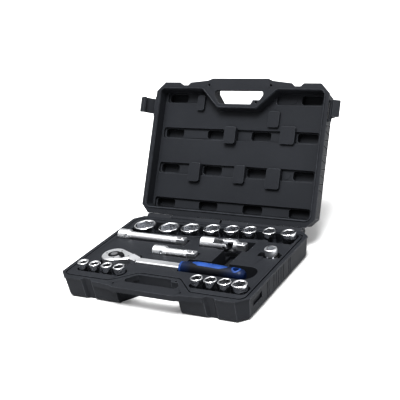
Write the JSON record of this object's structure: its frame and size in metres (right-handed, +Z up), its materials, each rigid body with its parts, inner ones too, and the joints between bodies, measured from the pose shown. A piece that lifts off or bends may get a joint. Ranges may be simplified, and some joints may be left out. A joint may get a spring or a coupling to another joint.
{
  "type": "socket wrench set in case",
  "caption": "Moulded carrying case, open on its hinge, with a pocketed tray of chrome sockets, a ratchet with rubber grip, extension bars, a universal joint and a drive adapter.",
  "frame": {"origin": "middle of the base's underside, halfway between the side walls and between the front and back rims", "axes": "+X along the hinge, to the right seen from the handle; +Y from the handle to the hinge; +Z up"},
  "size_m": [0.4126, 0.4314, 0.2707],
  "materials": {
    "case": "fine moulded grain",
    "latch": "satin",
    "chrome": "polished chrome plate",
    "tool_steel": "satin hardened steel",
    "pin_steel": "ground steel",
    "grip_rubber": "matte soft rubber",
    "grip_insert": "smooth moulded insert"
  },
  "bodies": {
    "case_base": {"base_shell": "case", "tool_tray": "case", "hinge_pin_left": "pin_steel", "hinge_pin_right": "pin_steel"},
    "lid": {"lid_shell": "case", "lid_liner": "case", "latch_pin_left": "pin_steel", "latch_pin_right": "pin_steel"},
    "latch_left": {"latch_left": "latch"},
    "latch_right": {"latch_right": "latch"},
    "ratchet": {"ratchet_body": "chrome", "head_cover": "chrome", "grip": "grip_rubber", "grip_inlay": "grip_insert", "hang_ring": "grip_insert", "grip_collar": "grip_insert"},
    "ratchet_drive": {"ratchet_gear": "tool_steel", "ratchet_ball": "pin_steel"},
    "pawl": {"pawl": "tool_steel"},
    "lever": {"reversing_lever": "chrome"},
    "button": {"release_button": "tool_steel"},
    "long_extension": {"long_extension": "chrome", "long_extension_ball": "pin_steel"},
    "short_extension": {"short_extension": "chrome", "short_extension_ball": "pin_steel"},
    "joint_female": {"joint_female_yoke": "chrome"},
    "joint_cross": {"joint_cross": "tool_steel", "joint_long_pin": "tool_steel", "joint_short_pins": "tool_steel"},
    "joint_male": {"joint_male_yoke": "chrome", "joint_ball": "pin_steel"},
    "adapter": {"drive_adapter": "chrome", "adapter_ball": "pin_steel"},
    "socket_32mm": {"socket_32mm": "chrome"},
    "socket_30mm": {"socket_30mm": "chrome"},
    "socket_27mm": {"socket_27mm": "chrome"},
    "socket_24mm": {"socket_24mm": "chrome"},
    "socket_22mm": {"socket_22mm": "chrome"},
    "socket_21mm": {"socket_21mm": "chrome"},
    "socket_19mm": {"socket_19mm": "chrome"},
    "socket_18mm": {"socket_18mm": "chrome"},
    "socket_10mm": {"socket_10mm": "chrome"},
    "socket_11mm": {"socket_11mm": "chrome"},
    "socket_12mm": {"socket_12mm": "chrome"},
    "socket_13mm": {"socket_13mm": "chrome"},
    "socket_14mm": {"socket_14mm": "chrome"},
    "socket_15mm": {"socket_15mm": "chrome"},
    "socket_16mm": {"socket_16mm": "chrome"},
    "socket_17mm": {"socket_17mm": "chrome"}
  },
  "joints": [
    {"name": "lid_hinge", "type": "hinge", "parent": "case_base", "child": "lid", "pos_m": [0, 0.134, 0.038], "axis": [-1, 0, 0], "range_deg": [-120, 0]},
    {"name": "latch_left_swing", "type": "hinge", "parent": "lid", "child": "latch_left", "pos_m": [-0.1826, 0.25016, 0.2192], "axis": [0, -0.5, -0.866], "range_deg": [-45, 90]},
    {"name": "latch_right_swing", "type": "hinge", "parent": "lid", "child": "latch_right", "pos_m": [0.1826, 0.25016, 0.2192], "axis": [0, 0.5, 0.866], "range_deg": [-45, 90]},
    {"name": "socket_32mm_lift", "type": "slide", "parent": "case_base", "child": "socket_32mm", "axis": [0, 0, 1], "range_m": [0, 0.06]},
    {"name": "socket_30mm_lift", "type": "slide", "parent": "case_base", "child": "socket_30mm", "axis": [0, 0, 1], "range_m": [0, 0.06]},
    {"name": "socket_27mm_lift", "type": "slide", "parent": "case_base", "child": "socket_27mm", "axis": [0, 0, 1], "range_m": [0, 0.06]},
    {"name": "socket_24mm_lift", "type": "slide", "parent": "case_base", "child": "socket_24mm", "axis": [0, 0, 1], "range_m": [0, 0.06]},
    {"name": "socket_22mm_lift", "type": "slide", "parent": "case_base", "child": "socket_22mm", "axis": [0, 0, 1], "range_m": [0, 0.06]},
    {"name": "socket_21mm_lift", "type": "slide", "parent": "case_base", "child": "socket_21mm", "axis": [0, 0, 1], "range_m": [0, 0.06]},
    {"name": "socket_19mm_lift", "type": "slide", "parent": "case_base", "child": "socket_19mm", "axis": [0, 0, 1], "range_m": [0, 0.06]},
    {"name": "socket_18mm_lift", "type": "slide", "parent": "case_base", "child": "socket_18mm", "axis": [0, 0, 1], "range_m": [0, 0.06]},
    {"name": "socket_10mm_lift", "type": "slide", "parent": "case_base", "child": "socket_10mm", "axis": [0, 0, 1], "range_m": [0, 0.06]},
    {"name": "socket_11mm_lift", "type": "slide", "parent": "case_base", "child": "socket_11mm", "axis": [0, 0, 1], "range_m": [0, 0.06]},
    {"name": "socket_12mm_lift", "type": "slide", "parent": "case_base", "child": "socket_12mm", "axis": [0, 0, 1], "range_m": [0, 0.06]},
    {"name": "socket_13mm_lift", "type": "slide", "parent": "case_base", "child": "socket_13mm", "axis": [0, 0, 1], "range_m": [0, 0.06]},
    {"name": "socket_14mm_lift", "type": "slide", "parent": "case_base", "child": "socket_14mm", "axis": [0, 0, 1], "range_m": [0, 0.06]},
    {"name": "socket_15mm_lift", "type": "slide", "parent": "case_base", "child": "socket_15mm", "axis": [0, 0, 1], "range_m": [0, 0.06]},
    {"name": "socket_16mm_lift", "type": "slide", "parent": "case_base", "child": "socket_16mm", "axis": [0, 0, 1], "range_m": [0, 0.06]},
    {"name": "socket_17mm_lift", "type": "slide", "parent": "case_base", "child": "socket_17mm", "axis": [0, 0, 1], "range_m": [0, 0.06]},
    {"name": "ratchet_lift", "type": "slide", "parent": "case_base", "child": "ratchet", "axis": [0, 0, 1], "range_m": [0, 0.06]},
    {"name": "drive_turn", "type": "hinge", "parent": "ratchet", "child": "ratchet_drive", "pos_m": [-0.1145, -0.0447, 0.04], "axis": [0, 0, 1], "continuous": true},
    {"name": "lever_flip", "type": "hinge", "parent": "ratchet", "child": "lever", "pos_m": [-0.1006, -0.0447, 0.046], "axis": [0, 0, 1], "range_deg": [0, 70]},
    {"name": "pawl_rock", "type": "hinge", "parent": "ratchet", "child": "pawl", "pos_m": [-0.1006, -0.0447, 0.04], "axis": [0, 0, 1], "range_deg": [-12, 0]},
    {"name": "button_press", "type": "slide", "parent": "ratchet_drive", "child": "button", "axis": [0, 0, -1], "range_m": [0, 0.0015], "stiffness_N_per_m": 400, "springref_m": -0.002},
    {"name": "long_extension_lift", "type": "slide", "parent": "case_base", "child": "long_extension", "axis": [0, 0, 1], "range_m": [0, 0.06]},
    {"name": "short_extension_lift", "type": "slide", "parent": "case_base", "child": "short_extension", "axis": [0, 0, 1], "range_m": [0, 0.06]},
    {"name": "universal_joint_lift", "type": "slide", "parent": "case_base", "child": "joint_female", "axis": [0, 0, 1], "range_m": [0, 0.06]},
    {"name": "joint_tilt", "type": "hinge", "parent": "joint_female", "child": "joint_cross", "pos_m": [0.057, 0.0475, 0.0405], "axis": [0, -1, 0], "range_deg": [0, 35]},
    {"name": "joint_swing", "type": "hinge", "parent": "joint_cross", "child": "joint_male", "pos_m": [0.057, 0.0475, 0.0405], "axis": [0, 0, -1], "range_deg": [0, 35]},
    {"name": "adapter_lift", "type": "slide", "parent": "case_base", "child": "adapter", "axis": [0, 0, 1], "range_m": [0, 0.06]}
  ],
  "couplings": [
    {"joint": "pawl_rock", "follows": "lever_flip", "ratio": -0.17143}
  ]
}
